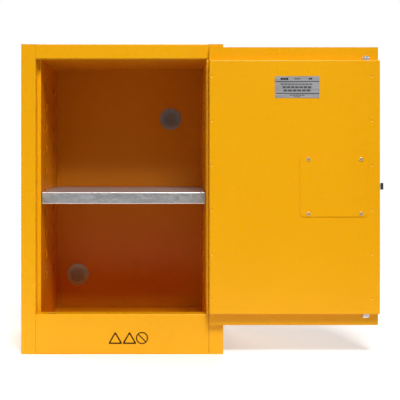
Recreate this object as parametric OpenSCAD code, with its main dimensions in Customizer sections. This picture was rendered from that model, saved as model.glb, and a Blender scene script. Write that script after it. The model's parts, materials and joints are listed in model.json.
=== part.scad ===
/* [Cabinet body] */
// Width of the cabinet body
body_w = 584; // [560:2:600]
// Depth of the cabinet body
body_d = 457; // [430:1:480]
// Height of the cabinet body
body_h = 895; // [890:1:910]
// Thickness of the steel sheet
sheet_t = 1.2; // [1:0.1:1.4]
// Depth of the front frame, from its face to the door stop
return_d = 38; // [36:1:40]
// Depth of the leakproof sump below the sill
sump_d = 51; // [40:1:55]
/* [Shelf] */
// Height of the shelf's top face above the floor
shelf_z = 465; // [460:1:466]
// Height of the shelf's front and rear lips
shelf_lip = 34; // [20:1:40]
// Spacing of the bridges that the shelf clips hang in
bridge_pitch = 63.5; // [60:0.5:64]
/* [Door] */
// Width of the door
door_w = 484.5; // [480:0.5:486]
// Depth of the door's outer pan
outer_pan_d = 12; // [11:0.5:12.5]
// Depth of the door's inner pan
inner_pan_d = 26; // [25:0.5:27]
// Number of knuckles on the piano hinge
knuckle_n = 57; // [51:2:61]
// Radius of the hinge barrel
barrel_r = 3.4; // [3.2:0.1:3.5]
/* [Latch] */
// Height of the latch centre above the floor
latch_z = 487; // [480:1:490]
// Radius at which the latch bars are pinned to the cam
cam_pin_r = 22; // [21:0.5:22.5]
// How far the paddle and the cam turn, in degrees
paddle_turn = 30; // [25:1:30]
/* [Vents] */
// Inner radius of a vent
vent_r = 24; // [20:1:25]
/* [Hidden] */
$fn = 48;
e = 1;

// Colours
safety_yellow = [0.96, 0.66, 0.06];
zinc = [0.66, 0.66, 0.64];
steel = [0.75, 0.75, 0.76];
black = [0.06, 0.06, 0.06];

// Cabinet frame: the origin is on the floor, below the middle of the body, and the door faces -Y
side_x = body_w / 2;
front_y = -body_d / 2;
back_y = body_d / 2;
stile_w = 42;
jamb_x = side_x - stile_w;
rail_y = front_y + 1.6;
rail_z = body_h - 42.3;
sill_z = 115.5;
stop_y = front_y + return_d;
bend_r = 2.4;
fold_r = 1.8;
frame_gap = 0.2;

// Inner box
inner_left = jamb_x - 10;
inner_right = jamb_x - 7;
inner_back_y = back_y - 39.5;
sump_z = sill_z - 2.5 - sump_d;
inner_foot_z = sump_z + sheet_t + 0.3;

// Bridges lanced out of the inner side walls, in two columns a side
bridge_y = 96;
bridge_top_z = 780;
bridge_n = 10;
bridge_h = 24;
bridge_w = 10;
bridge_d = 5;
bridge_slope = 4;

// Shelf and its clips
shelf_front = -183;
shelf_back = 184;
shelf_x0 = -inner_left + 2.5;
shelf_x1 = inner_right - 2.5;
notch_w = bridge_w + 6;
notch_x = bridge_d + 2;
clip_w = 36;
clip_reach = 13;
clip_t = 1.5;
clip_gap = 0.3;
clip_row = 5;

// Hinge: its axis stands just ahead of the right jamb
axis_x = jamb_x - barrel_r;
axis_y = front_y - 7;
hinge_z0 = 117;
hinge_len = 734;
knuckle_pitch = hinge_len / knuckle_n;
knuckle_gap = 1.2;
pin_r = 1.25;
pin_clearance = 0.05;
leaf_t = 1.2;
leaf_w = 27;
leaf_clear = barrel_r + 0.5;

// Door, drawn open: it lies beside the cabinet with its inner face towards -Y
door_x0 = axis_x + 3.9;
door_x1 = door_x0 + door_w;
skin_y = front_y - 3;
rim_y = skin_y - outer_pan_d;
pan_y = rim_y - inner_pan_d;
skin_z0 = 87;
skin_z1 = 884.5;
pan_z0 = 123;
pan_z1 = 845.5;
door_bend_r = 3;

// A point of the open door, moved to where it is with the door shut
function shut_x(x) = 2 * axis_x - x;
function shut_y(y) = 2 * axis_y - y;

// Fittings on the door's inner face
cover_x0 = 507.3;
cover_x1 = 698.5;
cover_z0 = 400.3;
cover_z1 = 573.6;
cover_t = 2;
cover_screw_x = [531.2, 680.9];
cover_screw_z = [409.1, 563.7];
screw_r = 2.4;
screw_len = 9;
screw_hole_r = 2.5;
screw_head_r = 5.8;
plate_x0 = 436;
plate_z0 = 737.5;
plate_w = 127;
plate_h = 62;
dimple_x = [256.5, 711.8];
dimple_top_z = 799.5;
dimple_pitch = 126.4;
dimple_ball_r = 7;
dimple_back_r = 5.5;
dimple_back_t = 0.9;
dimple_depth = 1.6;
dimple_n = 6;

// Handle dish, set into the outer skin
dish_x0 = 632;
dish_x1 = 716;
dish_z0 = latch_z - 40;
dish_z1 = latch_z + 58;
dish_floor_y = skin_y - 18.5;
dish_t = 1.5;
flange_x0 = dish_x0 - 8;
flange_x1 = dish_x1 + 8;
flange_z0 = latch_z - 82;
flange_z1 = latch_z + 70;
flange_t = 2;
cut_clear = 0.2;

// Paddle, hung on a pin across the top of the dish
paddle_x0 = 639;
paddle_x1 = 709;
paddle_y = skin_y - 4.5;
paddle_z = latch_z + 45;
paddle_pin_r = 2.5;
finger_x = paddle_x1 - 5.5;
finger_w = 5;
finger_reach = 19.4;
spring_x0 = 657;
spring_coil_r = 4;
spring_wire_r = 0.8;
spring_coils = 14;

// Layers of the latch, from the dish towards the inner face
base_y = dish_floor_y - 2;
cam_y0 = base_y - 3.2;
cam_y1 = base_y - 0.4;
rod_y0 = cam_y0 - 3.6;
rod_y1 = cam_y0 - 0.4;
mid_y0 = rod_y0 - 3.6;
mid_y1 = rod_y0 - 0.4;
guide_y = pan_y + sheet_t;

// Cam: it turns about Y, its pins start half its travel ahead of level and end as far past it
bolt_x = 697;
half_turn = paddle_turn / 2;
cam_x = bolt_x - cam_pin_r * cos(half_turn);
pin_rise = cam_pin_r * sin(half_turn);
pin_reach = cam_pin_r * cos(half_turn);
cam_r = cam_pin_r + 6;
cam_bore_r = 4.05;
cam_pin_shank_r = 3;
link_hole_r = 3.2;
link_slack = 1.2;

// Latch bars and bolts
rod_w = 12;
rod_end_w = 18;
rod_end_over = 10;
bolt_w = 18;
bolt_y0 = pan_y + 8.5;
bolt_y1 = pan_y + 16.5;
bolt_out = 13;
bolt_body = 20;
bolt_tail = 20;
rod_top_z = pan_z1 - bolt_body;
rod_foot_z = pan_z0 + bolt_body;
jog_z0 = latch_z - 53;
jog_z1 = latch_z - 41;
side_bolt_z = 486.5;
side_bolt_h = 19;
side_bolt_out = 11.3;
side_tip = 8.3;
side_head_y0 = mid_y0 - 2.4;
side_head_y1 = mid_y1 + 2.4;
slot_clear = 0.6;

// Key lock, below the paddle
lock_x = 674;
lock_z = latch_z - 62;
lock_r = 9.5;
key_r = 7;
key_clearance = 0.06;
key_tab_len = 32;

// Vents on the back: [x, z] of the lower and the upper one
lower_vent = [-170, 170];
upper_vent = [140, 690];
vent_t = 3;
vent_end_y = back_y + 5;
vent_gasket_t = 1.5;
vent_flange_r = vent_r + 12;
vent_collar_r = vent_r + 6;
vent_gap = 0.3;
screen_hole_r = 1.6;
screen_hole_pitch = 5.2;

// Grounding stud on the right side
stud_y = 180;
stud_z = 150;
stud_r = 3;
stud_len = 20;
nut_len = 5;
groove_x = 7;

function unit(v) = v / norm(v);

// Extrudes a Y-Z outline along X
module along_x(x0, x1) {
  translate([x0, 0, 0])
    rotate([90, 0, 90])
      linear_extrude(x1 - x0)
        children();
}

// Extrudes an X-Z outline along Y
module along_y(y0, y1) {
  translate([0, y1, 0])
    rotate([90, 0, 0])
      linear_extrude(y1 - y0)
        children();
}

// Box between two corners
module box(p, q) {
  translate(p)
    cube(q - p);
}

// Round bar along Y
module bar_y(x, z, r, y0, y1) {
  translate([x, y0, z])
    rotate([-90, 0, 0])
      cylinder(r = r, h = y1 - y0);
}

// Round bar along X
module bar_x(y, z, r, x0, x1) {
  translate([x0, y, z])
    rotate([0, 90, 0])
      cylinder(r = r, h = x1 - x0);
}

// Rectangle with rounded corners
module round_rect(x0, y0, x1, y1, r) {
  translate([x0 + r, y0])
    square([x1 - x0 - 2 * r, y1 - y0]);
  translate([x0, y0 + r])
    square([x1 - x0, y1 - y0 - 2 * r]);
  for (x = [x0 + r, x1 - r], y = [y0 + r, y1 - r])
    translate([x, y])
      circle(r);
}

// Centre of the bend at a path's corner i, and the directions into and out of it
function into(path, i) = unit(path[i] - path[i - 1]);
function out_of(path, i) = unit(path[i + 1] - path[i]);
function bend_centre(path, i, r) = path[i] + (out_of(path, i) - into(path, i)) * r;
function turns_left(path, i) = cross(into(path, i), out_of(path, i)) > 0;

// Parallelogram at p with the sides a and b, its points always in the same sense
module sides_polygon(p, a, b, left) {
  s = left ? [b, a] : [a, b];
  polygon([p, p + s[0], p + a + b, p + s[1]]);
}

// Sheet metal outline along a path of square corners, each bent to a radius
module bent_sheet(path, t = sheet_t, r = bend_r) {
  last = len(path) - 2;
  reach = r + t;
  difference() {
    union() {
      for (i = [0:last]) {
        u = unit(path[i + 1] - path[i]);
        v = [-u[1], u[0]] * t / 2;
        p = path[i] - u * (i > 0 ? t / 2 : 0);
        q = path[i + 1] + u * (i < last ? t / 2 : 0);
        polygon([p + v, q + v, q - v, p - v]);
      }
      for (i = [1:1:last])
        sides_polygon(path[i], out_of(path, i) * r, -into(path, i) * r, turns_left(path, i));
    }
    for (i = [1:1:last]) {
      c = bend_centre(path, i, r);
      u = into(path, i) * reach;
      w = out_of(path, i) * reach;
      translate(c)
        circle(r - t / 2);
      difference() {
        sides_polygon(c, -w, u, turns_left(path, i));
        translate(c)
          circle(r + t / 2);
      }
    }
  }
}

// Outline of a pan, seen end on: a0 to a1 across, open at b_open, with rounded edges at b_face
module pan_outline(a0, a1, b_open, b_face, r) {
  s = sign(b_face - b_open);
  bend_b = b_face - s * r;
  polygon([[a0, b_open], [a1, b_open], [a1, bend_b], [a1 - r, b_face], [a0 + r, b_face], [a0, bend_b]]);
  for (a = [a0 + r, a1 - r])
    translate([a, bend_b])
      circle(r);
}

module pan_solid(x0, x1, z0, z1, y_open, y_face, r) {
  intersection() {
    translate([0, 0, z0])
      linear_extrude(z1 - z0)
        pan_outline(x0, x1, y_open, y_face, r);
    along_x(x0, x1)
      mirror([1, -1])
        pan_outline(z0, z1, y_open, y_face, r);
  }
}

// Folded pan with four walls, open towards y_open
module folded_pan(x0, x1, z0, z1, y_open, y_face, r) {
  s = sign(y_face - y_open);
  t = sheet_t;
  difference() {
    pan_solid(x0, x1, z0, z1, y_open, y_face, r);
    pan_solid(x0 + t, x1 - t, z0 + t, z1 - t, y_open - s * e, y_face - s * t, r - t);
  }
}

// Left outer side, with the front stile and the jamb folded from the same sheet
module outer_side() {
  x_out = -side_x + sheet_t / 2;
  x_jamb = -jamb_x - sheet_t / 2;
  y_front = front_y + sheet_t / 2;
  translate([0, 0, sheet_t])
    linear_extrude(body_h - 2 * sheet_t)
      bent_sheet([[x_out, back_y], [x_out, y_front], [x_jamb, y_front], [x_jamb, stop_y]]);
}

// Slot that a bolt enters: p is its centre, s its size
module slot(p, s) {
  translate(p)
    cube(s, center = true);
}

strike_x = shut_x(bolt_x);
strike_y = shut_y((bolt_y0 + bolt_y1) / 2);
side_strike_y = shut_y((side_head_y0 + side_head_y1) / 2);
strike_clear = 2;
strike_reach = 12;
strike_slot = [bolt_w + 2 * strike_clear, strike_reach, strike_reach];
side_slot = [2 * strike_reach, strike_reach, side_bolt_h + 2 * strike_clear];

module strike_slots() {
  for (z = [rail_z, sill_z])
    slot([strike_x, strike_y, z], strike_slot);
  slot([-jamb_x, side_strike_y, side_bolt_z], side_slot);
}

module outer_side_left() {
  color(safety_yellow)
    difference() {
      outer_side();
      strike_slots();
    }
}

module outer_side_right() {
  color(safety_yellow)
    mirror([1, 0, 0])
      outer_side();
}

// Round hole through the back for each vent
module vent_holes(y0, y1) {
  for (v = [lower_vent, upper_vent])
    bar_y(v[0], v[1], vent_r + vent_t + cut_clear, y0, y1);
}

module outer_back() {
  x_in = side_x - 1.5 * sheet_t;
  y_mid = back_y - sheet_t / 2;
  flange = 14;
  color(safety_yellow)
    difference() {
      translate([0, 0, sheet_t])
        linear_extrude(body_h - 2 * sheet_t)
          bent_sheet([[-x_in, y_mid - flange], [-x_in, y_mid], [x_in, y_mid], [x_in, y_mid - flange]]);
      vent_holes(back_y - 10, back_y + e);
    }
}

// Top sheet, folded down at the front into the top rail and back into its soffit
module outer_top() {
  x_rail = jamb_x - frame_gap;
  y_mid = rail_y + sheet_t / 2;
  z_top = body_h - sheet_t / 2;
  z_soffit = rail_z + sheet_t / 2;
  color(safety_yellow)
    difference() {
      union() {
        along_x(-x_rail, x_rail)
          bent_sheet([[back_y, z_top], [y_mid, z_top], [y_mid, z_soffit], [stop_y, z_soffit]]);
        for (x = [-side_x, x_rail])
          box([x, front_y, body_h - sheet_t], [x + side_x - x_rail, back_y, body_h]);
      }
      strike_slots();
    }
}

// Bottom front panel, folded back into the sill and down to meet the sump
module front_panel() {
  x_rail = jamb_x - frame_gap;
  y_mid = rail_y + sheet_t / 2;
  y_drip = stop_y - sheet_t / 2;
  z_sill = sill_z - sheet_t / 2;
  drip = 17;
  color(safety_yellow)
    difference() {
      along_x(-x_rail, x_rail)
        bent_sheet([[y_mid, sheet_t], [y_mid, z_sill], [y_drip, z_sill], [y_drip, z_sill - drip]]);
      strike_slots();
    }
}

module base_pan() {
  color(safety_yellow)
    box([-side_x, front_y, 0], [side_x, back_y, sheet_t]);
}

function bridge_z(k) = bridge_top_z - k * bridge_pitch;

// Solids along Y at each bridge of a wall whose face is at x, with the bridge's outline moved by shift
module bridge_bars(x, shift, w) {
  half = bridge_h / 2;
  for (y = [-bridge_y, bridge_y], k = [0:bridge_n - 1])
    translate([x + shift, y, bridge_z(k)])
      along_y(-w / 2, w / 2)
        polygon([[-sheet_t, half], [0, half], [bridge_d, half - bridge_slope],
          [bridge_d, bridge_slope - half], [0, -half], [-sheet_t, -half]]);
}

// Left inner side: the wall with its bridges, and the door stop folded from its front edge
module inner_side(x_face) {
  x_mid = -x_face - sheet_t / 2;
  y_stop = stop_y + sheet_t / 2;
  y_foot = stop_y + fold_r + sheet_t;
  z_stop = sill_z - sheet_t;
  difference() {
    union() {
      translate([0, 0, z_stop])
        linear_extrude(rail_z - z_stop)
          bent_sheet([[-jamb_x - sheet_t, y_stop], [x_mid, y_stop], [x_mid, inner_back_y]],
            sheet_t, fold_r);
      box([-x_face - sheet_t, y_foot, inner_foot_z], [-x_face, inner_back_y, z_stop]);
      bridge_bars(-x_face, 0, bridge_w);
    }
    bridge_bars(-x_face, -sheet_t, bridge_w + 2 * cut_clear);
  }
}

module inner_side_left() {
  color(safety_yellow)
    inner_side(inner_left);
}

module inner_side_right() {
  color(safety_yellow)
    mirror([1, 0, 0])
      inner_side(inner_right);
}

module inner_back() {
  color(safety_yellow)
    difference() {
      box([-inner_left - sheet_t, inner_back_y, inner_foot_z],
        [inner_right + sheet_t, inner_back_y + sheet_t, rail_z]);
      vent_holes(inner_back_y - e, inner_back_y + 10);
    }
}

module inner_top() {
  color(safety_yellow)
    box([-inner_left - sheet_t, stop_y, rail_z],
      [inner_right + sheet_t, inner_back_y + sheet_t, rail_z + sheet_t]);
}

// Open pan that holds a spill, around the foot of the inner walls
module sump_pan() {
  x0 = -inner_left - 2 * sheet_t;
  x1 = inner_right + 2 * sheet_t;
  y1 = inner_back_y + 2 * sheet_t;
  color(safety_yellow)
    difference() {
      box([x0, stop_y, sump_z], [x1, y1, sump_z + sump_d]);
      box([x0 + sheet_t, stop_y + sheet_t, sump_z + sheet_t],
        [x1 - sheet_t, y1 - sheet_t, sump_z + sump_d + e]);
    }
}

// Z-shaped strip across an air gap, from a to b, with its flanges apart along the wall
module spacer_outline(a, b, s) {
  flange = 20;
  half = sheet_t / 2;
  bent_sheet([[a + half, s], [a + half, s + flange], [b - half, s + flange], [b - half, s + 2 * flange]]);
}

module wall_spacers() {
  z0 = 140;
  z_len = 690;
  side_places = [-20, 130];
  back_places = [-100, 60];
  top_places = [-110, 70];
  top_reach = jamb_x - 20;
  color(zinc) {
    for (s = side_places)
      translate([0, 0, z0])
        linear_extrude(z_len) {
          spacer_outline(-side_x + sheet_t, -inner_left - sheet_t, s);
          mirror([1, 0])
            spacer_outline(-side_x + sheet_t, -inner_right - sheet_t, s);
        }
    for (s = back_places)
      translate([0, 0, z0])
        linear_extrude(z_len)
          mirror([1, -1])
            spacer_outline(inner_back_y + sheet_t, back_y - sheet_t, s);
    for (s = top_places)
      along_x(-top_reach, top_reach)
        mirror([1, -1])
          spacer_outline(rail_z + sheet_t, body_h - sheet_t, s);
  }
}

// Channels that carry the sump on the base
module floor_channels() {
  half_w = 20;
  half_l = jamb_x - 30;
  z0 = sheet_t;
  z_mid = sump_z - sheet_t / 2;
  channel_y = [-120, 0, 120];
  color(zinc)
    for (y = channel_y)
      along_x(-half_l, half_l)
        bent_sheet([[y - half_w, z0], [y - half_w, z_mid], [y + half_w, z_mid], [y + half_w, z0]]);
}

// Where a knuckle starts
function knuckle_z(i) = hinge_z0 + i * knuckle_pitch;

// Knuckles from the one numbered first, every second one, each with its strip of leaf
module knuckles(first, x0, y0, y1) {
  h = knuckle_pitch - knuckle_gap;
  for (i = [first:2:knuckle_n - 1])
    translate([0, 0, knuckle_z(i)]) {
      translate([axis_x, axis_y, 0])
        cylinder(r = barrel_r, h = h);
      box([x0, y0, 0], [x0 + leaf_t, y1, h]);
    }
}

module pin_bore() {
  translate([axis_x, axis_y, hinge_z0 - e])
    cylinder(r = pin_r + pin_clearance, h = hinge_len + 2 * e);
}

module hinge_leaf_cabinet() {
  x0 = jamb_x - leaf_t;
  y0 = axis_y + leaf_clear;
  color(safety_yellow)
    difference() {
      union() {
        knuckles(0, x0, axis_y, y0 + e);
        box([x0, y0, hinge_z0], [jamb_x, axis_y + leaf_w, hinge_z0 + hinge_len - knuckle_gap]);
      }
      pin_bore();
    }
}

module hinge_leaf_door() {
  x0 = door_x0 - leaf_t;
  y1 = axis_y - leaf_clear;
  color(safety_yellow)
    difference() {
      union() {
        knuckles(1, x0, y1 - e, axis_y);
        box([x0, axis_y - leaf_w, pan_z0 + door_bend_r], [door_x0, y1, pan_z1 - door_bend_r]);
      }
      pin_bore();
    }
}

// Pin with a peened head at each end
module hinge_pin() {
  head_r = 2.2;
  head_h = 1;
  gap = 0.1;
  z0 = hinge_z0 - gap;
  h = hinge_len - knuckle_gap + 2 * gap;
  color(zinc)
    translate([axis_x, axis_y, 0]) {
      translate([0, 0, z0 - head_h])
        cylinder(r = pin_r, h = h + 2 * head_h);
      for (z = [z0 - head_h, z0 + h])
        translate([0, 0, z])
          cylinder(r = head_r, h = head_h);
    }
}

// Plates behind the frame that reinforce the slots the three bolts enter
module latch_strikes() {
  plate_l = 44;
  half_d = 9;
  t = 2;
  x_back = -jamb_x - sheet_t;
  color(zinc)
    difference() {
      union() {
        for (z = [rail_z + sheet_t, sill_z - sheet_t - t])
          box([strike_x - plate_l / 2, strike_y - half_d, z],
            [strike_x + plate_l / 2, strike_y + half_d, z + t]);
        box([x_back - t, side_strike_y - half_d, side_bolt_z - plate_l / 2],
          [x_back, side_strike_y + half_d, side_bolt_z + plate_l / 2]);
      }
      strike_slots();
    }
}

// One clip on the left wall: a plate through a bridge, with a tab on each side to carry the shelf
module shelf_clip() {
  z_tab = shelf_z - sheet_t;
  drop = 9;
  tab_w = 12;
  box([clip_gap, -clip_w / 2, bridge_z(clip_row) - drop], [clip_gap + clip_t, clip_w / 2, z_tab]);
  for (y = [-clip_w / 2, clip_w / 2 - tab_w])
    box([clip_gap, y, z_tab - clip_t], [clip_reach, y + tab_w, z_tab]);
}

module shelf_clips() {
  color(zinc)
    for (y = [-bridge_y, bridge_y]) {
      translate([-inner_left, y, 0])
        shelf_clip();
      translate([inner_right, y, 0])
        mirror([1, 0, 0])
          shelf_clip();
    }
}

// Flanged tube through both back walls
module vent_body(v) {
  flange = 2;
  y0 = inner_back_y - flange;
  color(zinc)
    difference() {
      union() {
        bar_y(v[0], v[1], vent_flange_r, y0, inner_back_y);
        bar_y(v[0], v[1], vent_r + vent_t, y0, vent_end_y);
        bar_y(v[0], v[1], vent_collar_r, back_y, vent_end_y);
      }
      bar_y(v[0], v[1], vent_r, y0 - e, vent_end_y + e);
    }
}

module vent_body_lower() {
  vent_body(lower_vent);
}

module vent_body_upper() {
  vent_body(upper_vent);
}

// Perforated disc that stops a flame in the vent
module flame_screen(v) {
  y0 = inner_back_y + 1;
  rings = 4;
  color(steel)
    difference() {
      bar_y(v[0], v[1], vent_r, y0, y0 + sheet_t);
      bar_y(v[0], v[1], screen_hole_r, y0 - e, y0 + sheet_t + e);
      for (k = [1:rings], i = [0:6 * k - 1])
        translate([v[0], 0, v[1]])
          rotate([0, i * 60 / k, 0])
            bar_y(k * screen_hole_pitch, 0, screen_hole_r, y0 - e, y0 + sheet_t + e);
    }
}

module flame_screen_lower() {
  flame_screen(lower_vent);
}

module flame_screen_upper() {
  flame_screen(upper_vent);
}

// Seal ring that stays on the cap's neck
module vent_gasket(v) {
  color(black)
    difference() {
      bar_y(v[0], v[1], vent_collar_r - 1, vent_end_y, vent_end_y + vent_gasket_t);
      bar_y(v[0], v[1], vent_r, vent_end_y - e, vent_end_y + vent_gasket_t + e);
    }
}

// Screw-in cap with a square drive in its middle
module vent_cap(v) {
  y_seat = vent_end_y + vent_gasket_t;
  y_flange = y_seat + 5;
  y_head = y_flange + 7;
  neck = 20;
  cup_r = vent_r - 5;
  cup_floor = 3;
  head_r = 17;
  drive = 13;
  color(zinc)
    difference() {
      union() {
        bar_y(v[0], v[1], vent_collar_r, y_seat, y_flange);
        bar_y(v[0], v[1], vent_r - vent_gap, y_seat - neck, y_seat);
        bar_y(v[0], v[1], head_r, y_flange, y_head);
      }
      bar_y(v[0], v[1], cup_r, y_seat - neck - e, y_seat - cup_floor);
      box([v[0] - drive / 2, y_flange - 1, v[1] - drive / 2],
        [v[0] + drive / 2, y_head + e, v[1] + drive / 2]);
    }
}

module vent_gasket_lower() {
  vent_gasket(lower_vent);
}

module vent_gasket_upper() {
  vent_gasket(upper_vent);
}

module vent_cap_lower() {
  vent_cap(lower_vent);
}

module vent_cap_upper() {
  vent_cap(upper_vent);
}

// Welded stud; a groove parts its free end from the stretch that the nut takes
module ground_stud() {
  groove_w = 0.8;
  groove_r = 2.5;
  color(zinc) {
    bar_x(stud_y, stud_z, stud_r, side_x, side_x + groove_x);
    bar_x(stud_y, stud_z, groove_r, side_x + groove_x, side_x + groove_x + groove_w);
    bar_x(stud_y, stud_z, stud_r, side_x + groove_x + groove_w, side_x + stud_len);
  }
}

// Washer and hexagonal nut on the stud
module ground_nut() {
  washer_t = 1.2;
  washer_r = 7;
  nut_r = 5.8;
  color(zinc)
    difference() {
      union() {
        bar_x(stud_y, stud_z, washer_r, side_x, side_x + washer_t);
        translate([side_x + washer_t, stud_y, stud_z])
          rotate([0, 90, 0])
            cylinder(r = nut_r, h = nut_len, $fn = 6);
      }
      bar_x(stud_y, stud_z, stud_r + pin_clearance, side_x - e, side_x + stud_len);
    }
}

// Triangle with rounded corners, drawn round its centre
module round_triangle(r, corner) {
  hull()
    for (a = [90, 210, 330])
      translate([(r - corner) * cos(a), (r - corner) * sin(a)])
        circle(corner, $fn = 24);
}

// Three plain printed marks on the bottom panel: two triangles and a barred ring
module safety_marks() {
  mark_t = 0.2;
  line_w = 3.2;
  triangle_r = 21.5;
  triangle_z = 41.5;
  ring_x = 57.1;
  ring_z = 46.5;
  ring_r = 17.5;
  color(black)
    along_y(rail_y - mark_t, rail_y) {
      for (x = [-20, 21])
        translate([x, triangle_z])
          difference() {
            round_triangle(triangle_r, 2.5);
            round_triangle(triangle_r - 2 * line_w, 1.2);
          }
      translate([ring_x, ring_z]) {
        difference() {
          circle(ring_r);
          circle(ring_r - line_w);
        }
        rotate(-45)
          square([2 * ring_r - line_w, line_w], center = true);
      }
    }
}

// Notch that lets the shelf pass a column of bridges
module shelf_notch(x0, x1, y) {
  box([x0, y - notch_w / 2, shelf_z - sheet_t - e], [x1, y + notch_w / 2, shelf_z + e]);
}

// Shelf: one sheet, folded down at the front and the back and then under, and notched at its ends
module shelf_panel() {
  z_mid = shelf_z - sheet_t / 2;
  z_foot = shelf_z - shelf_lip + sheet_t / 2;
  y0 = shelf_front + sheet_t / 2;
  y1 = shelf_back - sheet_t / 2;
  hem = 9;
  color(zinc)
    difference() {
      along_x(shelf_x0, shelf_x1)
        bent_sheet([[y0 + hem, z_foot], [y0, z_foot], [y0, z_mid], [y1, z_mid], [y1, z_foot],
          [y1 - hem, z_foot]], sheet_t, fold_r);
      for (y = [-bridge_y, bridge_y]) {
        shelf_notch(-inner_left - e, -inner_left + notch_x, y);
        shelf_notch(inner_right - notch_x, inner_right + e, y);
      }
    }
}

// Hat section welded under the shelf
module shelf_stiffener() {
  z_deck = shelf_z - sheet_t;
  half_w = 22;
  brim = 14;
  depth = 18;
  half = sheet_t / 2;
  color(zinc)
    along_x(shelf_x0 + 20, shelf_x1 - 20)
      bent_sheet([[-half_w - brim, z_deck - half], [-half_w, z_deck - half], [-half_w, z_deck - depth],
        [half_w, z_deck - depth], [half_w, z_deck - half], [half_w + brim, z_deck - half]],
        sheet_t, fold_r);
}

module door_outer_skin() {
  color(safety_yellow)
    difference() {
      folded_pan(door_x0, door_x1, skin_z0, skin_z1, rim_y, skin_y, door_bend_r);
      box([dish_x0 - cut_clear, rim_y - e, dish_z0 - cut_clear],
        [dish_x1 + cut_clear, skin_y + e, dish_z1 + cut_clear]);
      bar_y(lock_x, lock_z, lock_r + cut_clear, rim_y, skin_y + e);
    }
}

// Holes for the four screws of the latch cover
module cover_holes(y0, y1) {
  for (x = cover_screw_x, z = cover_screw_z)
    bar_y(x, z, screw_hole_r, y0, y1);
}

// Round dents along both edges of the inner pan
module pan_dimples() {
  for (x = dimple_x, k = [0:dimple_n - 1])
    translate([x, pan_y + dimple_depth - dimple_ball_r, dimple_top_z - k * dimple_pitch])
      sphere(dimple_ball_r);
}

// The metal that each dent pushes out at the back of the sheet
module dimple_backs() {
  for (x = dimple_x, k = [0:dimple_n - 1])
    bar_y(x, dimple_top_z - k * dimple_pitch, dimple_back_r, pan_y + sheet_t / 2,
      pan_y + dimple_depth + dimple_back_t);
}

module door_inner_pan() {
  access_x0 = 592;
  access_size = 96;
  access_z0 = latch_z - access_size / 2;
  cut = 5;
  rim = rim_y + sheet_t;
  inset = sheet_t + frame_gap;
  color(safety_yellow)
    difference() {
      union() {
        folded_pan(door_x0, door_x1, pan_z0, pan_z1, rim_y, pan_y, door_bend_r);
        box([door_x0 + inset, rim_y, skin_z0 + inset], [door_x1 - inset, rim, pan_z0 + sheet_t]);
        box([door_x0 + inset, rim_y, pan_z1 - sheet_t], [door_x1 - inset, rim, skin_z1 - inset]);
        dimple_backs();
      }
      pan_dimples();
      cover_holes(pan_y - e, pan_y + cut);
      box([access_x0, pan_y - e, access_z0],
        [access_x0 + access_size, pan_y + cut, access_z0 + access_size]);
      box([bolt_x - bolt_w / 2 - slot_clear, bolt_y0 - slot_clear, pan_z0 - e],
        [bolt_x + bolt_w / 2 + slot_clear, bolt_y1 + slot_clear, pan_z0 + cut]);
      box([bolt_x - bolt_w / 2 - slot_clear, bolt_y0 - slot_clear, pan_z1 - cut],
        [bolt_x + bolt_w / 2 + slot_clear, bolt_y1 + slot_clear, pan_z1 + e]);
      box([door_x1 - cut, side_head_y0 - slot_clear, side_bolt_z - side_bolt_h / 2 - slot_clear],
        [door_x1 + e, side_head_y1 + slot_clear, side_bolt_z + side_bolt_h / 2 + slot_clear]);
    }
}

module door_stiffeners() {
  places = [360, 545];
  end_gap = 8;
  color(zinc)
    for (s = places)
      translate([0, 0, pan_z0 + end_gap])
        linear_extrude(pan_z1 - pan_z0 - 2 * end_gap)
          mirror([1, -1])
            spacer_outline(pan_y + sheet_t, skin_y - sheet_t, s);
}

module latch_cover() {
  corner = 10;
  color(safety_yellow)
    difference() {
      along_y(pan_y - cover_t, pan_y)
        round_rect(cover_x0, cover_z0, cover_x1, cover_z1, corner);
      cover_holes(pan_y - cover_t - e, pan_y + e);
    }
}

// Pan-head screw at the origin, its shank towards +Y, with a cross recess
module pan_screw(r, shank_r, shank_l) {
  head_h = 2.6;
  round_r = 1.6;
  recess_w = 1.3;
  recess_d = 1.2;
  recess_l = r * 1.1;
  rotate([-90, 0, 0])
    difference() {
      union() {
        rotate_extrude() {
          translate([0, -head_h])
            square([r - round_r, head_h]);
          translate([0, -head_h + round_r])
            square([r, head_h - round_r]);
          intersection() {
            translate([r - round_r, -head_h + round_r])
              circle(round_r);
            translate([0, -head_h])
              square([r, head_h]);
          }
        }
        cylinder(r = shank_r, h = shank_l);
      }
      for (a = [45, 135])
        rotate([0, 0, a])
          translate([0, 0, -head_h])
            cube([recess_l, recess_w, 2 * recess_d], center = true);
    }
}

module cover_screws() {
  color(steel)
    for (x = cover_screw_x, z = cover_screw_z)
      translate([x, pan_y - cover_t, z])
        pan_screw(screw_head_r, screw_r, screw_len);
}

module nameplate() {
  corner = 2;
  plate_t = 0.6;
  color(steel)
    along_y(pan_y - plate_t, pan_y)
      round_rect(plate_x0, plate_z0, plate_x0 + plate_w, plate_z0 + plate_h, corner);
}

// Opening that the paddle's finger passes through
module finger_window(y0, y1) {
  half_w = finger_w / 2 + 1.5;
  drop = 16;
  rise = 6;
  box([finger_x - half_w, y0, paddle_z - drop], [finger_x + half_w, y1, paddle_z + rise]);
}

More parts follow.
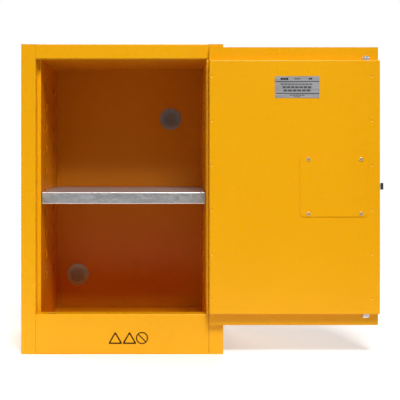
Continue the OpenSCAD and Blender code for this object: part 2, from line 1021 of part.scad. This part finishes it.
// Black dish with a flange on the outer skin
module handle_dish() {
  t = dish_t;
  corner = 8;
  color(black)
    difference() {
      union() {
        along_y(skin_y, skin_y + flange_t)
          round_rect(flange_x0, flange_z0, flange_x1, flange_z1, corner);
        box([dish_x0, dish_floor_y, dish_z0], [dish_x1, skin_y + e, dish_z1]);
      }
      box([dish_x0 + t, dish_floor_y + t, dish_z0 + t], [dish_x1 - t, skin_y + flange_t + e, dish_z1 - t]);
      bar_y(lock_x, lock_z, lock_r + cut_clear / 2, skin_y - e, skin_y + flange_t + e);
      bar_x(paddle_y, paddle_z, paddle_pin_r, dish_x0 - e, dish_x1 + e);
      finger_window(dish_floor_y - e, dish_floor_y + t + e);
    }
}

module dish_screws() {
  inset_x = 4;
  inset_z = 8;
  head_r = 3;
  head_h = 1.5;
  drive = [2 * head_r, 1.2, 0.9];
  color(steel)
    for (x = [flange_x0 + inset_x, flange_x1 - inset_x], z = [flange_z0 + inset_z, flange_z1 - inset_z])
      translate([x, skin_y + flange_t, z])
        difference() {
          bar_y(0, 0, head_r, 0, head_h);
          slot([0, head_h, 0], drive);
        }
}

// Plate on the back of the dish that carries the cam
module latch_base_plate() {
  z0 = latch_z - 37;
  z1 = latch_z + 53;
  color(zinc)
    difference() {
      box([dish_x0, base_y, z0], [dish_x1 + 6, dish_floor_y, z1]);
      bar_y(cam_x, latch_z, cam_bore_r - pin_clearance, base_y - e, dish_floor_y + e);
      finger_window(base_y - e, dish_floor_y + e);
    }
}

// Guide block with a window for a bar
module guide(block_min, block_max, window_min, window_max) {
  difference() {
    box(block_min, block_max);
    box(window_min, window_max);
  }
}

module rod_guides() {
  gap = 0.4;
  half = rod_w / 2 + gap;
  half_block = 12;
  len_z = 10;
  rod_places = [200, 370, 600, 765];
  side_x0 = 707;
  side_x1 = 713;
  half_h = side_bolt_h / 2;
  rim = 5;
  color(zinc) {
    for (z = rod_places)
      guide([bolt_x - half_block, guide_y, z], [bolt_x + half_block, rod_y1 + 3, z + len_z],
        [bolt_x - half, rod_y0 - gap, z - e], [bolt_x + half, rod_y1 + gap, z + len_z + e]);
    guide([side_x0, guide_y, side_bolt_z - half_h - rim],
      [side_x1, mid_y1 + 1.5, side_bolt_z + half_h + rim],
      [side_x0 - e, mid_y0 - gap, side_bolt_z - half_h - gap],
      [side_x1 + e, mid_y1 + gap, side_bolt_z + half_h + gap]);
  }
}

module paddle_pin() {
  color(steel)
    bar_x(paddle_y, paddle_z, paddle_pin_r, dish_x0 - 1, dish_x1 + 1);
}

// Torsion spring on the paddle's pin, its coils drawn as rings side by side, with one leg
module paddle_spring() {
  color(steel) {
    for (i = [0:spring_coils - 1])
      translate([spring_x0 + (2 * i + 1) * spring_wire_r, paddle_y, paddle_z])
        rotate([0, 90, 0])
          rotate_extrude()
            translate([spring_coil_r, 0])
              square(2 * spring_wire_r, center = true);
    box([spring_x0, dish_floor_y + dish_t + 0.2, paddle_z + spring_coil_r - spring_wire_r],
      [spring_x0 + 2 * spring_wire_r, paddle_y, paddle_z + spring_coil_r + spring_wire_r]);
  }
}

// Shouldered pin that the cam turns on
module cam_pivot() {
  head_r = 7;
  head_h = 2;
  y_head = cam_y0 - 0.3;
  color(steel) {
    bar_y(cam_x, latch_z, cam_bore_r - pin_clearance, y_head - e, dish_floor_y);
    bar_y(cam_x, latch_z, head_r, y_head - head_h, y_head);
  }
}

module lock_barrel() {
  bezel_r = 12;
  bezel_t = 1.5;
  y_face = skin_y + flange_t;
  color(steel)
    difference() {
      union() {
        bar_y(lock_x, lock_z, lock_r, base_y, y_face);
        bar_y(lock_x, lock_z, bezel_r, y_face, y_face + bezel_t);
      }
      bar_y(lock_x, lock_z, key_r + key_clearance, base_y - e, y_face + bezel_t + e);
    }
}

// Key cylinder: the plug with its keyway, and the tab at its rear end
module key_cylinder() {
  y_face = skin_y + flange_t + 1.7;
  tab_y0 = base_y - 3;
  tab_y1 = base_y - 1.2;
  tab_w = 8;
  keyway_w = 1.8;
  keyway_h = 8;
  keyway_d = 8;
  color(steel)
    difference() {
      union() {
        bar_y(lock_x, lock_z, key_r, tab_y0, y_face);
        box([lock_x, tab_y0, lock_z - tab_w / 2], [lock_x + key_tab_len, tab_y1, lock_z + tab_w / 2]);
      }
      box([lock_x - keyway_w / 2, y_face - keyway_d, lock_z - keyway_h / 2],
        [lock_x + keyway_w / 2, y_face + e, lock_z + keyway_h / 2]);
    }
}

// Paddle: plate with a finger lip below, pin sleeves above, and the finger that works the cam
module paddle() {
  plate_y0 = paddle_y - 2;
  plate_y1 = paddle_y + 3;
  z0 = latch_z - 19;
  boss_r = 5;
  lip_r = 4;
  finger_half_h = 3;
  spring_gap0 = spring_x0 - 2;
  spring_gap1 = spring_x0 + 2 * spring_coils * spring_wire_r + 2;
  gap_half_h = 7;
  gap_y = 4;
  color(black)
    difference() {
      union() {
        box([paddle_x0, plate_y0, z0 + lip_r], [paddle_x1, plate_y1, paddle_z]);
        bar_x(paddle_y, paddle_z, boss_r, paddle_x0, paddle_x1);
        bar_x(plate_y1 - lip_r, z0 + lip_r, lip_r, paddle_x0, paddle_x1);
        box([finger_x - finger_w / 2, paddle_y - finger_reach, paddle_z - finger_half_h],
          [finger_x + finger_w / 2, paddle_y, paddle_z + finger_half_h]);
      }
      bar_x(paddle_y, paddle_z, paddle_pin_r + pin_clearance, paddle_x0 - e, paddle_x1 + e);
      box([spring_gap0, plate_y0 - gap_y, paddle_z - gap_half_h],
        [spring_gap1, plate_y1 + gap_y, paddle_z + gap_half_h]);
    }
}

// Cam with a pin for each bar and an arm below the paddle's finger
module latch_cam() {
  arm_z = latch_z + 41;
  arm_x = cam_x + 34;
  arm_tip = 12;
  foot_x = cam_x + 6;
  foot_w = 14;
  y_free = rod_y0 - 0.1;
  y_mid_free = mid_y0 - 0.6;
  color(zinc) {
    difference() {
      along_y(cam_y0, cam_y1) {
        translate([cam_x, latch_z])
          circle(cam_r);
        polygon([[foot_x, latch_z], [foot_x + foot_w, latch_z], [arm_x, arm_z - arm_tip / 2],
          [arm_x, arm_z], [arm_x - arm_tip, arm_z]]);
      }
      bar_y(cam_x, latch_z, cam_bore_r, cam_y0 - e, cam_y1 + e);
    }
    bar_y(cam_x + pin_reach, latch_z + pin_rise, cam_pin_shank_r, y_free, cam_y1);
    bar_y(cam_x - pin_reach, latch_z - pin_rise, cam_pin_shank_r, y_free, cam_y1);
    bar_y(cam_x + pin_rise, latch_z - pin_reach, cam_pin_shank_r, y_mid_free, cam_y1);
  }
}

// Slot with round ends, centred on the origin, l longer than it is wide
module link_slot(l) {
  square([l, 2 * link_hole_r], center = true);
  for (x = [-l / 2, l / 2])
    translate([x, 0])
      circle(link_hole_r);
}

module upper_rod() {
  z_pin = latch_z + pin_rise;
  color(zinc)
    along_y(rod_y0, rod_y1)
      difference() {
        union() {
          translate([bolt_x - rod_w / 2, z_pin])
            square([rod_w, rod_top_z - z_pin]);
          translate([bolt_x - rod_end_w / 2, z_pin - rod_end_over])
            square([rod_end_w, 2 * rod_end_over]);
        }
        translate([bolt_x + link_slack / 2, z_pin])
          link_slot(link_slack);
      }
}

module lower_rod() {
  x_pin = cam_x - pin_reach;
  z_pin = latch_z - pin_rise;
  color(zinc)
    along_y(rod_y0, rod_y1)
      difference() {
        union() {
          translate([x_pin - rod_end_w / 2, jog_z0])
            square([rod_end_w, z_pin + rod_end_over - jog_z0]);
          translate([x_pin - rod_end_w / 2, jog_z0])
            square([bolt_x - x_pin + rod_end_w / 2 + rod_w / 2, jog_z1 - jog_z0]);
          translate([bolt_x - rod_w / 2, rod_foot_z])
            square([rod_w, jog_z1 - rod_foot_z]);
        }
        translate([x_pin - link_slack / 2, z_pin])
          link_slot(link_slack);
      }
}

// Bevelled bolt: it stands on z = 0 and points up, with a tail that laps the rod
module rod_bolt() {
  h = bolt_body + bolt_out;
  bevel = 5;
  tip_t = 2.5;
  chamfer = 3;
  translate([bolt_x, 0, 0]) {
    intersection() {
      along_x(-bolt_w / 2, bolt_w / 2)
        polygon([[bolt_y0, 0], [bolt_y1, 0], [bolt_y1, h], [bolt_y1 - tip_t, h], [bolt_y0, h - bevel]]);
      along_y(bolt_y0 - e, bolt_y1 + e)
        polygon([[-bolt_w / 2, 0], [bolt_w / 2, 0], [bolt_w / 2, h - chamfer], [bolt_w / 2 - chamfer, h],
          [-bolt_w / 2 + chamfer, h], [-bolt_w / 2, h - chamfer]]);
    }
    box([-rod_w / 2, bolt_y0, -bolt_tail], [rod_w / 2, rod_y0, 0]);
  }
}

module upper_bolt() {
  color(steel)
    translate([0, 0, rod_top_z])
      rod_bolt();
}

module lower_bolt() {
  color(steel)
    translate([0, 0, rod_foot_z])
      mirror([0, 0, 1])
        rod_bolt();
}

// Side bolt: a bar from its cam pin to the door's edge, with a thicker head
module middle_bolt() {
  x_pin = cam_x + pin_rise;
  z_pin = latch_z - pin_reach;
  z0 = side_bolt_z - side_bolt_h / 2;
  z1 = side_bolt_z + side_bolt_h / 2;
  x_head = door_x1 - 9;
  x_tip = door_x1 + side_bolt_out - side_tip;
  x_bar = x_pin + 4;
  half = 12;
  below = 9;
  lap = 6;
  color(steel) {
    along_y(mid_y0, mid_y1)
      difference() {
        union() {
          translate([x_pin - half, z_pin - below])
            square([2 * half, z0 + lap - z_pin + below]);
          translate([x_bar, z0])
            square([x_tip - x_bar, side_bolt_h]);
        }
        translate([x_pin, z_pin - link_slack / 2])
          rotate(90)
            link_slot(link_slack);
      }
    box([x_head, side_head_y0, z0], [x_tip, side_head_y1, z1]);
  }
}

module middle_bolt_tip() {
  x_tip = door_x1 + side_bolt_out - side_tip;
  x_end = door_x1 + side_bolt_out;
  z0 = side_bolt_z - side_bolt_h / 2;
  bevel = 5;
  color(black)
    translate([0, 0, z0])
      linear_extrude(side_bolt_h)
        polygon([[x_tip, side_head_y0], [x_end - bevel, side_head_y0], [x_end, side_head_y0 + bevel],
          [x_end, side_head_y1], [x_tip, side_head_y1]]);
}

outer_side_left();
outer_side_right();
outer_back();
outer_top();
front_panel();
base_pan();
inner_side_left();
inner_side_right();
inner_back();
inner_top();
sump_pan();
wall_spacers();
floor_channels();
hinge_leaf_cabinet();
hinge_pin();
latch_strikes();
shelf_clips();
vent_body_lower();
vent_body_upper();
flame_screen_lower();
flame_screen_upper();
ground_stud();
ground_nut();
safety_marks();
shelf_panel();
shelf_stiffener();
door_outer_skin();
door_inner_pan();
door_stiffeners();
hinge_leaf_door();
latch_cover();
cover_screws();
nameplate();
handle_dish();
dish_screws();
latch_base_plate();
rod_guides();
paddle_pin();
paddle_spring();
cam_pivot();
lock_barrel();
paddle();
latch_cam();
upper_rod();
upper_bolt();
lower_rod();
lower_bolt();
middle_bolt();
middle_bolt_tip();
key_cylinder();
vent_gasket_lower();
vent_cap_lower();
vent_gasket_upper();
vent_cap_upper();
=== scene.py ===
import json
import math

import bpy
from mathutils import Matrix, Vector


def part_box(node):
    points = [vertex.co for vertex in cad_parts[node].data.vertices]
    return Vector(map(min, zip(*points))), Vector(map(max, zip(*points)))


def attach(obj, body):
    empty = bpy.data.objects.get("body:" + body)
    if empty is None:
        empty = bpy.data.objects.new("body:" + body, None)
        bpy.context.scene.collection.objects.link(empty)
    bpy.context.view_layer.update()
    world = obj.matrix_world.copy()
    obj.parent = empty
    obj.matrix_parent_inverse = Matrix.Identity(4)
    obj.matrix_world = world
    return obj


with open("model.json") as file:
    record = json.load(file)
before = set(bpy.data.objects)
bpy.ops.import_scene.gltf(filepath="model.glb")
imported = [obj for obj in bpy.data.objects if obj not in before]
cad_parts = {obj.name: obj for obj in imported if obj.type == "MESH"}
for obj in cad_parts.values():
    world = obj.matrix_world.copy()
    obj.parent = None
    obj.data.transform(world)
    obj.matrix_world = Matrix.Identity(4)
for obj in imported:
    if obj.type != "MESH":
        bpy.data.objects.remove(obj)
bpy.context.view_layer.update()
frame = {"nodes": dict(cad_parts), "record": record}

# Linear colours
PAINT = (0.86, 0.398, 0.002)
PAINT_DEEP = (0.82, 0.370, 0.0015)
PAINT_PALE = (0.90, 0.445, 0.008)
# Inside of the cabinet: the same yellow paint made deeper and redder, as painted shade
INNER_PAINTED_SHADE = (0.80, 0.270, 0.0015)
INNER_PAINTED_SHADE_DEEP = (0.75, 0.235, 0.001)
INNER_PAINTED_SHADE_PALE = (0.84, 0.310, 0.004)
ZINC = (0.50, 0.515, 0.525)
ZINC_DARK = (0.34, 0.35, 0.355)
ZINC_PALE = (0.66, 0.67, 0.69)
# Painted highlight for the folds of the shelf
ZINC_PAINTED_HIGHLIGHT = (0.95, 0.93, 0.91)
STEEL = (0.62, 0.62, 0.62)
BLACK = (0.012, 0.012, 0.012)
BLACK_WORN = (0.03, 0.03, 0.03)
NYLON = (0.022, 0.024, 0.016)
NYLON_WORN = (0.05, 0.05, 0.04)
RUBBER = (0.014, 0.014, 0.014)
RUBBER_WORN = (0.035, 0.035, 0.035)
CHROME = (0.74, 0.72, 0.73)
# Screws: plated steel tinted gold, a painted reflection of the yellow paint around them
SCREW_WITH_PAINTED_REFLECTION = (0.86, 0.66, 0.36)
SPRING = (0.36, 0.36, 0.36)
VENT = (0.48, 0.48, 0.46)
FOIL_DARK = (0.33, 0.325, 0.34)
FOIL_PALE = (0.45, 0.445, 0.46)
MARK_INK = (0.028, 0.004, 0.0)
LINE_INK = (0.012, 0.012, 0.018)
BAR_INK = (0.08, 0.08, 0.085)
PAPER = (0.76, 0.76, 0.76)
PAPER_PALE = (0.80, 0.80, 0.80)
WHITE = (1.0, 1.0, 1.0)

MM = 0.001

# Width of the painted highlight band along the folds of the shelf
FOLD_HIGHLIGHT_WIDTH = 2.6 * MM

# How far behind its front edge an inner side's painted shade starts to deepen from the outer paint, and
# where it is full
SHADE_LIP_START = 1.5 * MM
SHADE_LIP_END = 8.5 * MM

# Camera, level and square to the cabinet, in metres and in widths of the picture
CAMERA_AT = (0.138, -2.8285, 0.6097)
SENSOR_MM = 36
LENS_MM = 81.07
SHIFT_X = 0.075
SHIFT_Y = -0.1425

# Name, place, the point it faces, side and watts of each light
LIGHTS = [
    ("key", (0.8, -3.25, 4.1), (0.2, -0.2, 0.45), 1.5, 226),
    ("side", (3.3, -0.9, 0.9), (-0.2, -0.2, 0.5), 1.0, 14),
    ("fill", (-2.7, -1.9, 1.3), (0.0, -0.2, 0.45), 1.6, 20),
    ("rear", (0.4, 3.2, 2.4), (0.1, 0.0, 0.4), 2.2, 90),
    ("left", (-3.1, 0.9, 2.0), (-0.29, 0.0, 0.45), 1.5, 55),
]

# Strength of the sky as the camera sees it, and as a light
SKY_SEEN = 1.0
SKY_LIGHT = 0.05

# Where the floor's circle is centred, where it starts to fade, and half its side
FLOOR_CENTRE = (0.12, 0.0, 0.0)
FLOOR_FADE = 0.75
FLOOR_HALF = 1.9
FLOOR_GLOW = 0.30

# Bevels on the edges of CAD nodes
WIDE_EDGE = 0.8 * MM
FINE_EDGE = 0.3 * MM
WIDE_EDGED = ("paddle", "handle_dish")
FINE_EDGED = ("upper_bolt", "lower_bolt", "middle_bolt", "middle_bolt_tip", "latch_cover", "nameplate")

# Thickness of the print on the nameplate, how far it is sunk in, and the gaps in a row of bars
FILM = 0.06 * MM
SUNK = 0.01 * MM
BAR_GAP = 0.16

# Rows of the nameplate, as fractions of its width and height:
# left, right, middle from the top, height, bars in the row, and whether it is a dark line
PLATE_ROWS = [
    (0.13, 0.31, 0.125, 0.095, 3, True),
    (0.43, 0.58, 0.120, 0.050, 4, False),
    (0.76, 0.84, 0.115, 0.080, 2, True),
    (0.01, 0.99, 0.245, 0.034, 1, True),
    (0.13, 0.85, 0.365, 0.050, 9, False),
    (0.17, 0.83, 0.510, 0.095, 7, False),
    (0.19, 0.81, 0.655, 0.095, 6, False),
    (0.01, 0.99, 0.790, 0.030, 1, True),
    (0.33, 0.67, 0.870, 0.045, 5, False),
    (0.42, 0.58, 0.945, 0.035, 3, False),
]


def toned(colour, factor):
    """A colour made darker or paler by one factor."""
    return tuple(c * factor for c in colour)


class Graph:
    """A material's node tree, with short calls that add its nodes and join them."""

    def __init__(self, name):
        self.material = bpy.data.materials.new(name)
        self.material.use_nodes = True
        self.tree = self.material.node_tree
        self.shader = self.tree.nodes["Principled BSDF"]
        self.place = self.add("ShaderNodeTexCoord").outputs["Object"]

    def add(self, kind, values=None, **settings):
        """A node; a value that is a socket is linked, and any other is set on the input."""
        node = self.tree.nodes.new(kind)
        for key, value in settings.items():
            setattr(node, key, value)
        for key, value in (values or {}).items():
            self.put(node.inputs[key], value)
        return node

    def put(self, socket, value):
        """Links a socket to an input, or sets a number or colour on it."""
        if isinstance(value, bpy.types.NodeSocket):
            self.tree.links.new(value, socket)
        elif isinstance(value, tuple) and len(value) == 3 and socket.type == "RGBA":
            socket.default_value = (*value, 1)
        else:
            socket.default_value = value

    def finish(self, **inputs):
        """Sets or links the shader's inputs, named with _ for a space."""
        for key, value in inputs.items():
            self.put(self.shader.inputs[key.replace("_", " ")], value)
        return self.material

    def axis(self, name):
        """The place along one axis."""
        return self.add("ShaderNodeSeparateXYZ", {"Vector": self.place}).outputs[name]

    def noise(self, scale, detail=3.0, rough=0.5, stretch=None):
        """Noise from 0 to 1, with so many features a metre."""
        place = self.place
        if stretch:
            place = self.add("ShaderNodeMapping", {"Vector": place, "Scale": stretch}).outputs[0]
        node = self.add("ShaderNodeTexNoise", {
            "Vector": place, "Scale": scale, "Detail": detail, "Roughness": rough})
        return node.outputs["Fac"]

    def cells(self, scale):
        """Small cells; outputs are Distance and Color."""
        return self.add("ShaderNodeTexVoronoi", {"Vector": self.place, "Scale": scale}).outputs

    def remap(self, value, low, high, to_low=0.0, to_high=1.0):
        """Stretches low to high over to_low to to_high, and clamps it."""
        node = self.add("ShaderNodeMapRange", {
            "Value": value, "From Min": low, "From Max": high, "To Min": to_low, "To Max": to_high})
        return node.outputs[0]

    def blend(self, factor, a, b):
        """Colour a at factor 0, and b at 1."""
        return self.add("ShaderNodeMix", {0: factor, 6: a, 7: b}, data_type="RGBA").outputs[2]

    def math(self, operation, a, b=0.0):
        return self.add("ShaderNodeMath", {0: a, 1: b}, operation=operation).outputs[0]

    def times(self, a, b):
        return self.math("MULTIPLY", a, b)

    def bump(self, height, distance, strength=1.0, below=None):
        """A bump, which may sit on another bump."""
        values = {"Height": height, "Distance": distance, "Strength": strength}
        if below:
            values["Normal"] = below
        return self.add("ShaderNodeBump", values).outputs[0]


def paint(name, base, deep, pale, rough=0.3, shade_lip=None):
    """Satin powder coat: orange peel, slow drifts of tone, and a few faint scuffs.

    Given a span in Y, painted shade deepens from the outer paint at its start to this paint at its end,
    behind a sheet's front lip.
    """
    g = Graph(name)
    drift = g.remap(g.noise(scale=2.2, detail=2.0), low=0.3, high=0.7)
    grain = g.remap(g.noise(scale=420.0, detail=2.0), low=0.35, high=0.65)
    scuff_lines = g.noise(scale=26.0, detail=5.0, rough=0.62, stretch=(1.0, 1.0, 0.18))
    scuffs = g.remap(scuff_lines, low=0.66, high=0.74)
    colour = g.blend(drift, base, deep)
    colour = g.blend(g.times(grain, 0.10), colour, pale)
    if shade_lip:
        # Painted shade: the outer paint at the front edge deepens to this paint behind it
        colour = g.blend(g.remap(g.axis("Y"), *shade_lip), PAINT, colour)
    colour = g.blend(g.times(scuffs, 0.16), colour, pale)
    peel = g.bump(g.noise(scale=620.0, detail=1.5), distance=0.06 * MM, strength=0.55)
    waves = g.bump(g.noise(scale=9.0, detail=1.0), distance=0.5 * MM, strength=0.35, below=peel)
    patches = g.noise(scale=60.0, detail=4.0)
    roughness = g.remap(patches, low=0.3, high=0.7, to_low=rough - 0.05, to_high=rough + 0.08)
    return g.finish(Base_Color=colour, Roughness=roughness, Normal=waves, Specular_IOR_Level=0.25)


def inner_shade_lip():
    """Where in Y the painted shade on an inner side deepens from the outer paint, behind its front edge.
    """
    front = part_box("inner_side_left")[0].y
    return front + SHADE_LIP_START, front + SHADE_LIP_END


def near_ends(g, axis, low, high, band):
    """1 within a band of either end of low to high along an axis, and 0 between them."""
    from_middle = g.math("ABSOLUTE", g.math("SUBTRACT", g.axis(axis), (low + high) / 2))
    half = (high - low) / 2
    fade = band * 0.3
    return g.remap(from_middle, half - band, half - band + fade)


def galvanised(name):
    """Zinc spangle: flat crystals of mixed greys, each with its own sheen, and a painted highlight along
    the folds.
    """
    g = Graph(name)
    grey = g.add("ShaderNodeSeparateColor", {"Color": g.cells(scale=150.0)["Color"]}).outputs[0]
    colour = g.blend(g.remap(grey, low=0.0, high=1.0, to_low=0.3, to_high=0.65), ZINC, ZINC_PALE)
    drawn = g.noise(scale=24.0, detail=4.0, rough=0.6, stretch=(0.12, 1.0, 1.6))
    streaks = g.remap(drawn, low=0.35, high=0.7)
    colour = g.blend(g.times(streaks, 0.22), colour, ZINC_DARK)
    low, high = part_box("shelf_panel")
    # Painted highlight: a bright band along the shelf's folds
    painted_fold_highlight = g.times(near_ends(g, "Y", low.y, high.y, FOLD_HIGHLIGHT_WIDTH), near_ends(g, "Z", low.z, high.z, FOLD_HIGHLIGHT_WIDTH))
    colour = g.blend(painted_fold_highlight, colour, ZINC_PAINTED_HIGHLIGHT)
    roughness = g.remap(grey, low=0.0, high=1.0, to_low=0.34, to_high=0.52)
    peel = g.bump(g.noise(scale=240.0, detail=3.0), distance=0.08 * MM, strength=0.5)
    return g.finish(Base_Color=colour, Metallic=0.75, Roughness=roughness, Normal=peel)


def plated(name, base=STEEL, rough=0.28, metallic=1.0):
    """Plated steel with fine turning marks and a little tarnish."""
    g = Graph(name)
    tarnish = g.remap(g.noise(scale=85.0, detail=4.0, rough=0.6), low=0.42, high=0.72)
    colour = g.blend(g.times(tarnish, 0.45), base, toned(base, 0.62))
    patches = g.noise(scale=320.0, detail=3.0)
    roughness = g.remap(patches, low=0.3, high=0.7, to_low=rough - 0.06, to_high=rough + 0.10)
    turned = g.noise(scale=1500.0, detail=1.0, stretch=(1.0, 1.0, 0.08))
    marks = g.bump(turned, distance=0.02 * MM, strength=0.5)
    return g.finish(Base_Color=colour, Metallic=metallic, Roughness=roughness, Normal=marks)


def moulded(name, base=BLACK, worn=BLACK_WORN, rough=0.5, grain=700.0):
    """Moulded plastic or rubber with a fine grain."""
    g = Graph(name)
    wear = g.remap(g.noise(scale=38.0, detail=5.0, rough=0.65), low=0.5, high=0.75)
    colour = g.blend(g.times(wear, 0.6), base, worn)
    pits = g.bump(g.cells(grain)["Distance"], distance=0.08 * MM, strength=0.6)
    patches = g.noise(scale=130.0, detail=3.0)
    roughness = g.remap(patches, low=0.3, high=0.7, to_low=rough - 0.06, to_high=rough + 0.1)
    return g.finish(Base_Color=colour, Roughness=roughness, Normal=pits)


def foil(name):
    """Brushed silver foil of the nameplate."""
    g = Graph(name)
    brush = g.noise(scale=420.0, detail=3.0, stretch=(0.04, 1.0, 1.0))
    colour = g.blend(g.remap(brush, low=0.3, high=0.7), FOIL_DARK, FOIL_PALE)
    lines = g.bump(brush, distance=0.03 * MM, strength=0.5)
    roughness = g.remap(brush, low=0.3, high=0.7, to_low=0.36, to_high=0.52)
    return g.finish(Base_Color=colour, Metallic=0.35, Roughness=roughness, Normal=lines)


def ink(name, base):
    """Printed film, a little uneven."""
    g = Graph(name)
    mottle = g.remap(g.noise(scale=260.0, detail=4.0, rough=0.6), low=0.35, high=0.7)
    colour = g.blend(g.times(mottle, 0.5), base, toned(base, 1.8))
    grain = g.bump(g.noise(scale=900.0, detail=2.0), distance=0.02 * MM, strength=0.4)
    return g.finish(Base_Color=colour, Roughness=0.7, Normal=grain, Specular_IOR_Level=0.1)


MATERIALS = {
    "yellow_paint": paint("yellow_paint", PAINT, PAINT_DEEP, PAINT_PALE),
    # The inner paint is painted shade: the outer yellow made deeper and redder
    "inner_paint": paint("inner_paint", INNER_PAINTED_SHADE, INNER_PAINTED_SHADE_DEEP, INNER_PAINTED_SHADE_PALE, rough=0.32, shade_lip=inner_shade_lip()),
    "shelf_zinc": galvanised("shelf_zinc"),
    "zinc_plate": plated("zinc_plate", ZINC, rough=0.36, metallic=0.9),
    "bolt_chrome": plated("bolt_chrome", CHROME, rough=0.3, metallic=0.6),
    "screw_steel": plated("screw_steel", SCREW_WITH_PAINTED_REFLECTION, rough=0.34, metallic=0.6),
    "spring_steel": plated("spring_steel", SPRING, rough=0.3),
    "black_handle": moulded("black_handle"),
    "black_nylon": moulded("black_nylon", NYLON, NYLON_WORN, rough=0.42),
    "black_rubber": moulded("black_rubber", RUBBER, RUBBER_WORN, rough=0.7, grain=1100.0),
    "plate_silver": foil("plate_silver"),
    "mark_ink": ink("mark_ink", MARK_INK),
    "vent_metal": plated("vent_metal", VENT, rough=0.4, metallic=0.9),
}


def dress_cad_nodes():
    """Gives each CAD node its slot's material."""
    for row in frame["record"]["subparts"]:
        node = frame["nodes"][row["node"]]
        node.data.materials.clear()
        node.data.materials.append(MATERIALS[row["material_slot"]])


def soften(node, width):
    """Rounds a CAD node's sharp edges with modifiers, which leave its mesh as it is."""
    obj = frame["nodes"][node]
    weld = obj.modifiers.new("weld", "WELD")
    weld.merge_threshold = 1e-5
    bevel = obj.modifiers.new("soft_edges", "BEVEL")
    bevel.width = width
    bevel.segments = 2
    bevel.limit_method = "ANGLE"
    bevel.angle_limit = math.radians(35)


def add_print(name, verts, faces, material):
    """A piece of print, which rides on the door."""
    mesh = bpy.data.meshes.new(name)
    mesh.from_pydata(verts, [], faces)
    mesh.materials.append(material)
    obj = bpy.data.objects.new(name, mesh)
    bpy.context.scene.collection.objects.link(obj)
    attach(obj, "door")


def camera():
    """The camera stands level in front, between the cabinet's middle and the open door's."""
    data = bpy.data.cameras.new("camera")
    data.sensor_width = SENSOR_MM
    data.lens = LENS_MM
    data.shift_x = SHIFT_X
    data.shift_y = SHIFT_Y
    obj = bpy.data.objects.new("camera", data)
    obj.location = CAMERA_AT
    obj.rotation_euler = (math.radians(90), 0, 0)
    bpy.context.scene.collection.objects.link(obj)
    bpy.context.scene.camera = obj


def softbox(name, at, towards, size, watts):
    """A square area light that faces a point."""
    data = bpy.data.lights.new(name, "AREA")
    data.shape = "SQUARE"
    data.size = size
    data.energy = watts
    obj = bpy.data.objects.new(name, data)
    obj.location = at
    obj.rotation_euler = (Vector(towards) - Vector(at)).to_track_quat("-Z", "Y").to_euler()
    bpy.context.scene.collection.objects.link(obj)


def sky():
    """White all round for the eye, and a dim even light on the object."""
    world = bpy.data.worlds.new("studio")
    world.use_nodes = True
    bpy.context.scene.world = world
    tree = world.node_tree
    tree.nodes.clear()
    seen = tree.nodes.new("ShaderNodeBackground")
    seen.inputs["Strength"].default_value = SKY_SEEN
    lit = tree.nodes.new("ShaderNodeBackground")
    lit.inputs["Strength"].default_value = SKY_LIGHT
    for node in (seen, lit):
        node.inputs["Color"].default_value = (*WHITE, 1)
    ray = tree.nodes.new("ShaderNodeLightPath")
    mix = tree.nodes.new("ShaderNodeMixShader")
    out = tree.nodes.new("ShaderNodeOutputWorld")
    tree.links.new(ray.outputs["Is Camera Ray"], mix.inputs[0])
    tree.links.new(lit.outputs[0], mix.inputs[1])
    tree.links.new(seen.outputs[0], mix.inputs[2])
    tree.links.new(mix.outputs[0], out.inputs["Surface"])


def floor():
    """A pale floor that fades into the white beyond the object."""
    r = FLOOR_HALF
    mesh = bpy.data.meshes.new("studio_floor")
    mesh.from_pydata([(-r, -r, 0), (r, -r, 0), (r, r, 0), (-r, r, 0)], [], [(0, 1, 2, 3)])
    g = Graph("floor_paper")
    from_centre = g.add("ShaderNodeVectorMath", {0: g.place, 1: FLOOR_CENTRE}, operation="DISTANCE")
    fade = g.remap(from_centre.outputs["Value"], FLOOR_FADE, FLOOR_HALF)
    grain = g.bump(g.noise(scale=300.0, detail=3.0), distance=0.1 * MM, strength=0.3)
    pale = g.blend(g.noise(scale=3.0), PAPER, PAPER_PALE)
    g.finish(Base_Color=pale, Roughness=0.85, Normal=grain,
             Emission_Color=WHITE, Emission_Strength=FLOOR_GLOW)
    clear = g.add("ShaderNodeBsdfTransparent")
    mix = g.add("ShaderNodeMixShader", {0: fade, 1: g.shader.outputs[0], 2: clear.outputs[0]})
    g.tree.links.new(mix.outputs[0], g.tree.nodes["Material Output"].inputs["Surface"])
    mesh.materials.append(g.material)
    obj = bpy.data.objects.new("studio_floor", mesh)
    bpy.context.scene.collection.objects.link(obj)


def bar(x0, x1, z0, z1, y_back, y_front):
    """Corners and faces of a thin raised bar that faces -Y."""
    verts = [(x, y, z) for y in (y_back, y_front) for x, z in ((x0, z0), (x1, z0), (x1, z1), (x0, z1))]
    faces = [(4, 5, 6, 7), (0, 1, 5, 4), (1, 2, 6, 5), (2, 3, 7, 6), (3, 0, 4, 7), (3, 2, 1, 0)]
    return verts, faces


def nameplate_print():
    """Two ruled lines and some blocks, all dark, and rows of paler bars."""
    low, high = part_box("nameplate")
    size = high - low
    for name, dark, colour in (("nameplate_lines", True, LINE_INK), ("nameplate_bars", False, BAR_INK)):
        verts, faces = [], []
        for left, right, top, height, count, row_dark in PLATE_ROWS:
            if row_dark != dark:
                continue
            pitch = (right - left) / count
            gap = pitch * BAR_GAP if count > 1 else 0.0
            for i in range(count):
                x0 = low.x + size.x * (left + i * pitch)
                x1 = low.x + size.x * (left + (i + 1) * pitch - gap)
                z = high.z - size.z * top
                half = size.z * height / 2
                v, f = bar(x0, x1, z - half, z + half, low.y + SUNK, low.y - FILM)
                faces += [tuple(n + len(verts) for n in face) for face in f]
                verts += v
        add_print(name, verts, faces, ink(name, colour))


camera()
sky()
floor()
for light in LIGHTS:
    softbox(*light)

dress_cad_nodes()
nameplate_print()
for name in WIDE_EDGED:
    soften(name, WIDE_EDGE)
for name in FINE_EDGED:
    soften(name, FINE_EDGE)

bpy.context.scene.view_settings.view_transform = "Standard"
